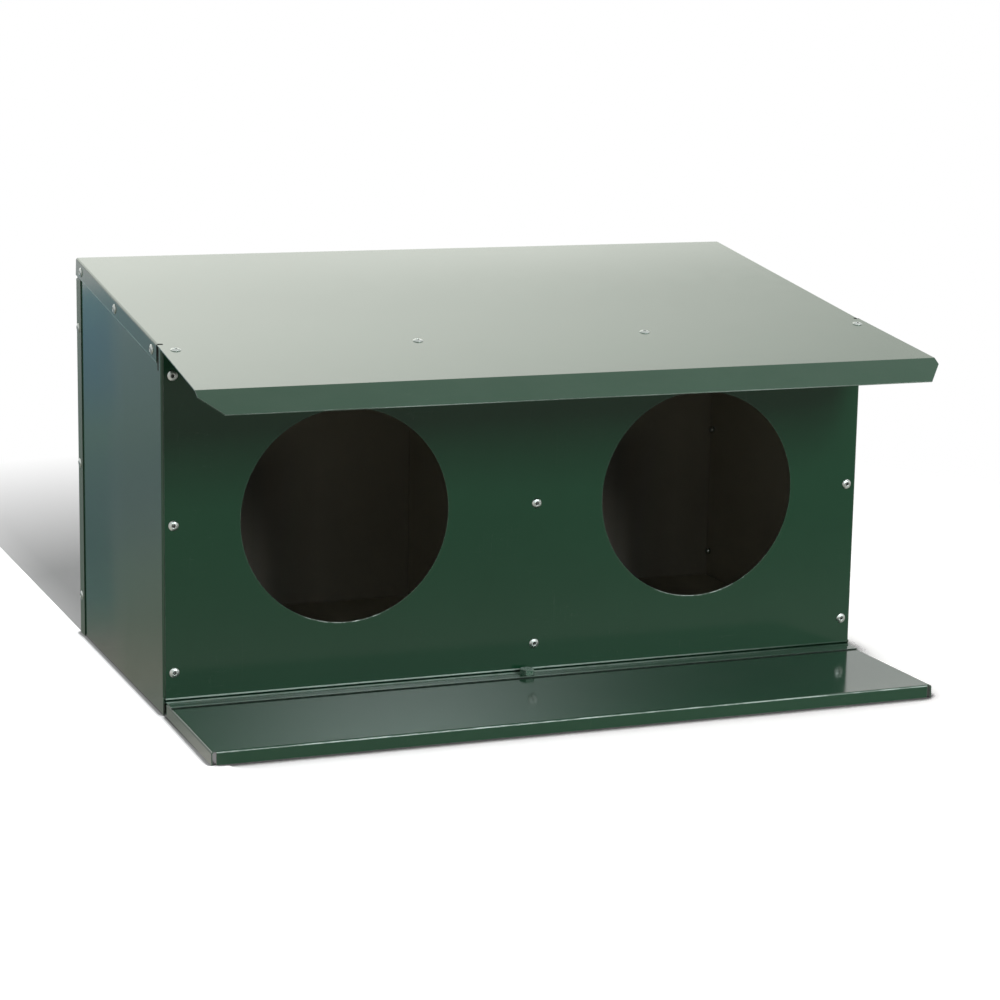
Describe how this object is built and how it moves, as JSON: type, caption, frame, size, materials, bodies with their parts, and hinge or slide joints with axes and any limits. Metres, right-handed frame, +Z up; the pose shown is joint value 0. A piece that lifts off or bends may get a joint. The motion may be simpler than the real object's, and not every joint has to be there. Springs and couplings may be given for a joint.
{
  "type": "two-compartment dovecote",
  "caption": "Sheet-metal nest box for pigeons with round entrances, a falling roof with a dropped lip and a landing board bolted in front.",
  "frame": {"origin": "on the ground, under the middle of the whole piece, from the landing board's front to the heads of the rear roof rivets", "axes": "+X runs along the front, to the right of someone facing the entrances; -Y is the front; +Z is up"},
  "size_m": [0.7096, 0.4896, 0.3793],
  "materials": {
    "green_sheet": "gloss dark green paint on folded sheet steel",
    "green_bolt": "the same paint over a hexagon bolt",
    "bright_rivet": "bright, unpainted",
    "zinc_steel": "zinc plated"
  },
  "bodies": {
    "root": {"roof_panel": "green_sheet", "front_panel": "green_sheet", "left_side_panel": "green_sheet", "right_side_panel": "green_sheet", "back_panel": "green_sheet", "floor_panel": "green_sheet", "centre_divider": "green_sheet", "landing_board": "green_sheet", "landing_board_bolt": "green_bolt", "landing_board_washer": "zinc_steel", "landing_board_nut": "zinc_steel", "front_left_rivets": "bright_rivet", "front_centre_rivets": "bright_rivet", "front_right_rivets": "bright_rivet", "roof_front_rivets": "bright_rivet", "roof_left_rivets": "bright_rivet", "roof_right_rivets": "bright_rivet", "roof_back_rivets": "bright_rivet", "back_left_rivets": "bright_rivet", "back_right_rivets": "bright_rivet", "back_centre_rivets": "bright_rivet", "floor_back_rivets": "bright_rivet"}
  },
  "joints": []
}
